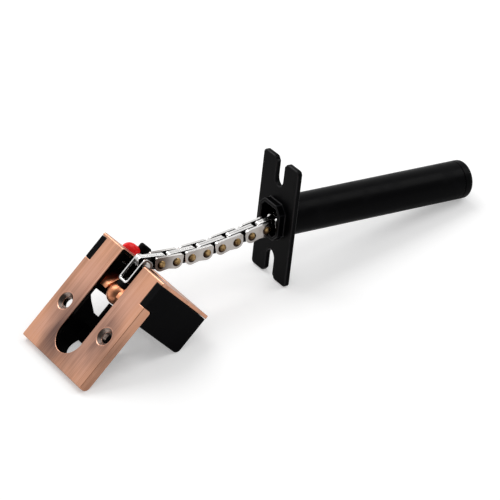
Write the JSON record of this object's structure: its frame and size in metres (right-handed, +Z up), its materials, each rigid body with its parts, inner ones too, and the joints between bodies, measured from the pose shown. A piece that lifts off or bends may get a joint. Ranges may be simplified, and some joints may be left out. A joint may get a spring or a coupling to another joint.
{
  "type": "concealed door chain",
  "caption": "Concealed door chain: a barrel with a slotted face plate feeds a leaf chain to a ball held in a copper keeper with a U-slot, a lock box and a thumb turn.",
  "frame": {"origin": "middle of the whole object's foot, on the surface it lies on", "axes": "+X from the keeper to the barrel's capped end, +Y across the keeper, +Z up"},
  "size_m": [0.271, 0.061, 0.0693],
  "materials": {
    "black_paint": "satin black",
    "black_plastic": "matte black",
    "black_rubber": "matte black",
    "copper": "brushed antique copper",
    "polished_steel": "polished nickel",
    "bronze": "dark bronze",
    "red_plastic": "glossy red"
  },
  "bodies": {
    "barrel": {"barrel_tube": "black_paint", "barrel_cap": "black_paint", "face_plate": "black_paint"},
    "stop": {"chain_stop": "polished_steel", "chain_stop_pin": "bronze"},
    "inner_link_6": {"inner_plate_6_near": "polished_steel", "inner_plate_6_far": "polished_steel"},
    "outer_link_5": {"outer_plate_5_near": "polished_steel", "outer_plate_5_far": "polished_steel", "chain_pin_10": "bronze", "chain_pin_9": "bronze"},
    "inner_link_5": {"inner_plate_5_near": "polished_steel", "inner_plate_5_far": "polished_steel"},
    "outer_link_4": {"outer_plate_4_near": "polished_steel", "outer_plate_4_far": "polished_steel", "chain_pin_8": "bronze", "chain_pin_7": "bronze"},
    "inner_link_4": {"inner_plate_4_near": "polished_steel", "inner_plate_4_far": "polished_steel"},
    "outer_link_3": {"outer_plate_3_near": "polished_steel", "outer_plate_3_far": "polished_steel", "chain_pin_6": "bronze", "chain_pin_5": "bronze"},
    "inner_link_3": {"inner_plate_3_near": "polished_steel", "inner_plate_3_far": "polished_steel"},
    "outer_link_2": {"outer_plate_2_near": "polished_steel", "outer_plate_2_far": "polished_steel", "chain_pin_4": "bronze", "chain_pin_3": "bronze"},
    "inner_link_2": {"inner_plate_2_near": "polished_steel", "inner_plate_2_far": "polished_steel"},
    "outer_link_1": {"outer_plate_1_near": "polished_steel", "outer_plate_1_far": "polished_steel", "chain_pin_2": "bronze", "chain_pin_1": "bronze"},
    "inner_link_1": {"inner_plate_1_near": "polished_steel", "inner_plate_1_far": "polished_steel"},
    "clevis": {"clevis": "polished_steel", "clevis_pin": "polished_steel"},
    "ball_end": {"ball": "copper", "stud": "polished_steel", "ball_washer": "black_rubber"},
    "keeper": {"keeper_shell": "copper", "lock_box": "black_plastic", "jaw_near": "copper", "jaw_far": "copper", "slot_liner": "black_plastic"},
    "thumb_turn": {"turn_hub": "black_plastic", "turn_tip": "red_plastic", "latch_cam": "polished_steel", "cam_clip": "polished_steel"}
  },
  "joints": [
    {"name": "chain_draw", "type": "slide", "parent": "barrel", "child": "stop", "axis": [-0.9816, 0, 0.1911], "range_m": [-0.003, 0.0125]},
    {"name": "pivot_11", "type": "hinge", "parent": "stop", "child": "inner_link_6", "pos_m": [0.0281, 0, 0.03088], "axis": [0, 1, 0], "range_deg": [-1, 10]},
    {"name": "pivot_10", "type": "hinge", "parent": "inner_link_6", "child": "outer_link_5", "pos_m": [0.01859, 0, 0.0315], "axis": [0, -1, 0], "range_deg": [-12, 2]},
    {"name": "pivot_9", "type": "hinge", "parent": "outer_link_5", "child": "inner_link_5", "pos_m": [0.00908, 0, 0.03196], "axis": [0, 1, 0], "range_deg": [-5, 20]},
    {"name": "pivot_8", "type": "hinge", "parent": "inner_link_5", "child": "outer_link_4", "pos_m": [-0.00045, 0, 0.03192], "axis": [0, 1, 0], "range_deg": [-35, 35]},
    {"name": "pivot_7", "type": "hinge", "parent": "outer_link_4", "child": "inner_link_4", "pos_m": [-0.00997, 0, 0.03204], "axis": [0, -1, 0], "range_deg": [-35, 35]},
    {"name": "pivot_6", "type": "hinge", "parent": "inner_link_4", "child": "outer_link_3", "pos_m": [-0.0195, 0, 0.03216], "axis": [0, 1, 0], "range_deg": [-35, 35]},
    {"name": "pivot_5", "type": "hinge", "parent": "outer_link_3", "child": "inner_link_3", "pos_m": [-0.02902, 0, 0.03237], "axis": [0, -1, 0], "range_deg": [-35, 35]},
    {"name": "pivot_4", "type": "hinge", "parent": "inner_link_3", "child": "outer_link_2", "pos_m": [-0.03853, 0, 0.03291], "axis": [0, 1, 0], "range_deg": [-35, 35]},
    {"name": "pivot_3", "type": "hinge", "parent": "outer_link_2", "child": "inner_link_2", "pos_m": [-0.048, 0, 0.03395], "axis": [0, -1, 0], "range_deg": [-35, 35]},
    {"name": "pivot_2", "type": "hinge", "parent": "inner_link_2", "child": "outer_link_1", "pos_m": [-0.05741, 0, 0.0354], "axis": [0, 1, 0], "range_deg": [-35, 35]},
    {"name": "pivot_1", "type": "hinge", "parent": "outer_link_1", "child": "inner_link_1", "pos_m": [-0.0667, 0, 0.0375], "axis": [0, -1, 0], "range_deg": [-35, 35]},
    {"name": "clevis_pivot", "type": "hinge", "parent": "inner_link_1", "child": "clevis", "pos_m": [-0.07582, 0, 0.04025], "axis": [0, 1, 0], "range_deg": [-18, 60]},
    {"name": "ball_swivel", "type": "hinge", "parent": "clevis", "child": "ball_end", "pos_m": [-0.07582, 0, 0.04025], "axis": [0.7939, 0, 0.608], "range_deg": [-8, 8]},
    {"name": "ball_release", "type": "slide", "parent": "ball_end", "child": "keeper", "axis": [0.9942, 0, 0.1071], "range_m": [0, 0.016]},
    {"name": "thumb_turn", "type": "hinge", "parent": "keeper", "child": "thumb_turn", "pos_m": [-0.06694, 0.0215, 0.02865], "axis": [0.7939, 0, 0.608], "range_deg": [0, 90]}
  ]
}
